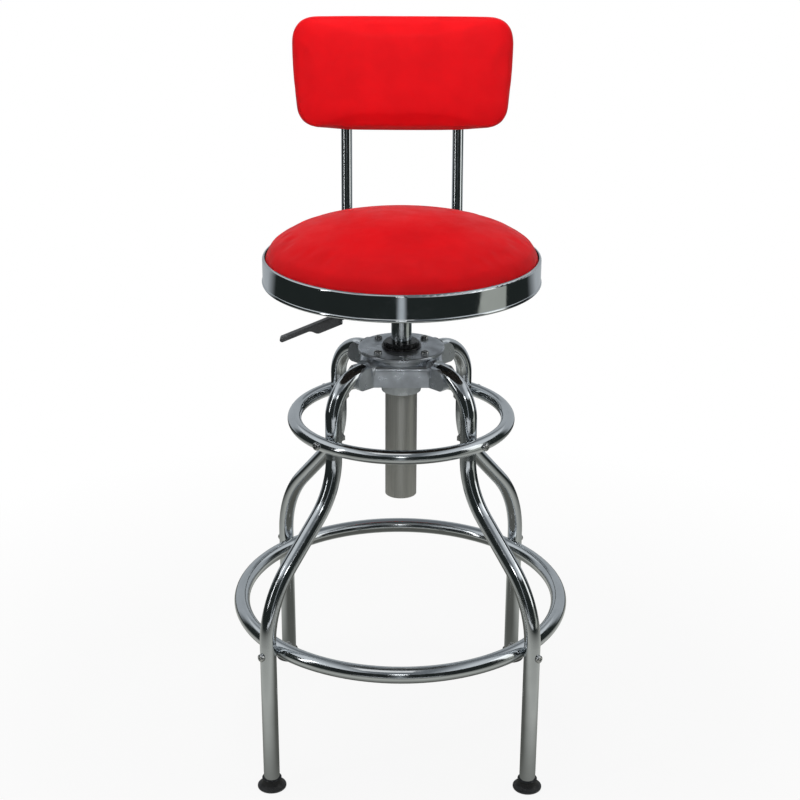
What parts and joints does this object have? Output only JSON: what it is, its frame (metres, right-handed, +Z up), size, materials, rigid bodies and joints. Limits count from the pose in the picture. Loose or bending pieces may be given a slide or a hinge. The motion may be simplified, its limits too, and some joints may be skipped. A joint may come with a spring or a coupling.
{
  "type": "shop stool",
  "caption": "Round swivel shop stool on a gas lift, with a domed vinyl seat in a chrome band, padded back, bent chrome tube legs and foot rings.",
  "frame": {"origin": "on the floor, under the swivel axis, midway between the glides", "axes": "+Z up along the swivel axis, -Y towards the front of the seat, +X to the right as seen from the front"},
  "size_m": [0.48, 0.48, 1.0033],
  "materials": {
    "chrome_tube": "bright chrome plate on steel tube",
    "chrome_band": "polished chrome plate on rolled steel band",
    "plated_screws": "bright zinc plate",
    "satin_steel": "drawn steel tube, satin",
    "cast_aluminium": "tumbled casting, matte",
    "black_steel": "black powder coat",
    "black_plastic": "moulded black plastic",
    "glide_rubber": "moulded black rubber",
    "plywood": "raw plywood",
    "red_vinyl": "upholstery vinyl over foam"
  },
  "bodies": {
    "base": {"glide_front_left": "glide_rubber", "glide_front_right": "glide_rubber", "glide_rear_left": "glide_rubber", "glide_rear_right": "glide_rubber", "leg_front_left": "chrome_tube", "leg_front_right": "chrome_tube", "leg_rear_left": "chrome_tube", "leg_rear_right": "chrome_tube", "lower_ring": "chrome_tube", "lower_ring_screws": "plated_screws", "lower_ring_nuts": "plated_screws", "upper_ring": "chrome_tube", "upper_ring_screws": "plated_screws", "upper_ring_nuts": "plated_screws", "hub": "cast_aluminium", "leg_bolts": "plated_screws", "guide_tube": "satin_steel", "column_bush": "black_plastic", "thrust_washer_lower": "satin_steel", "bearing_cage": "black_plastic", "bearing_balls": "plated_screws"},
    "spindle": {"piston_rod": "chrome_tube", "piston": "satin_steel", "thrust_washer_upper": "satin_steel", "retaining_clip": "plated_screws", "bump_stop": "glide_rubber"},
    "seat": {"pressure_tube": "chrome_tube", "rod_gland": "satin_steel", "valve_body": "satin_steel", "seat_bracket": "black_steel", "bracket_bolts": "plated_screws", "lever_pin": "plated_screws", "seat_board": "plywood", "seat_band": "chrome_band", "seat_cushion": "red_vinyl", "upright_left": "chrome_tube", "upright_right": "chrome_tube", "upright_bolts": "plated_screws", "upright_spacers": "black_plastic", "upright_caps": "black_plastic", "back_board": "plywood", "back_pad": "red_vinyl", "back_screws": "plated_screws"},
    "lever": {"lever_bar": "black_steel", "lever_handle": "black_plastic"},
    "valve_pin": {"release_pin": "plated_screws"}
  },
  "joints": [
    {"name": "swivel", "type": "hinge", "parent": "base", "child": "spindle", "pos_m": [0, 0, 0.386], "axis": [0, 0, 1], "continuous": true},
    {"name": "lift", "type": "slide", "parent": "spindle", "child": "seat", "axis": [0, 0, 1], "range_m": [0, 0.127]},
    {"name": "lever_tilt", "type": "hinge", "parent": "seat", "child": "lever", "pos_m": [-0.026, 0, 0.6522], "axis": [0, 1, 0], "range_deg": [0, 7], "stiffness_Nm_per_rad": 4, "springref_deg": -11.46},
    {"name": "pin_press", "type": "slide", "parent": "seat", "child": "valve_pin", "axis": [0, 0, -1], "range_m": [0, 0.0033]}
  ],
  "couplings": [
    {"joint": "pin_press", "follows": "lever_tilt", "m_per_rad": 0.0265}
  ]
}
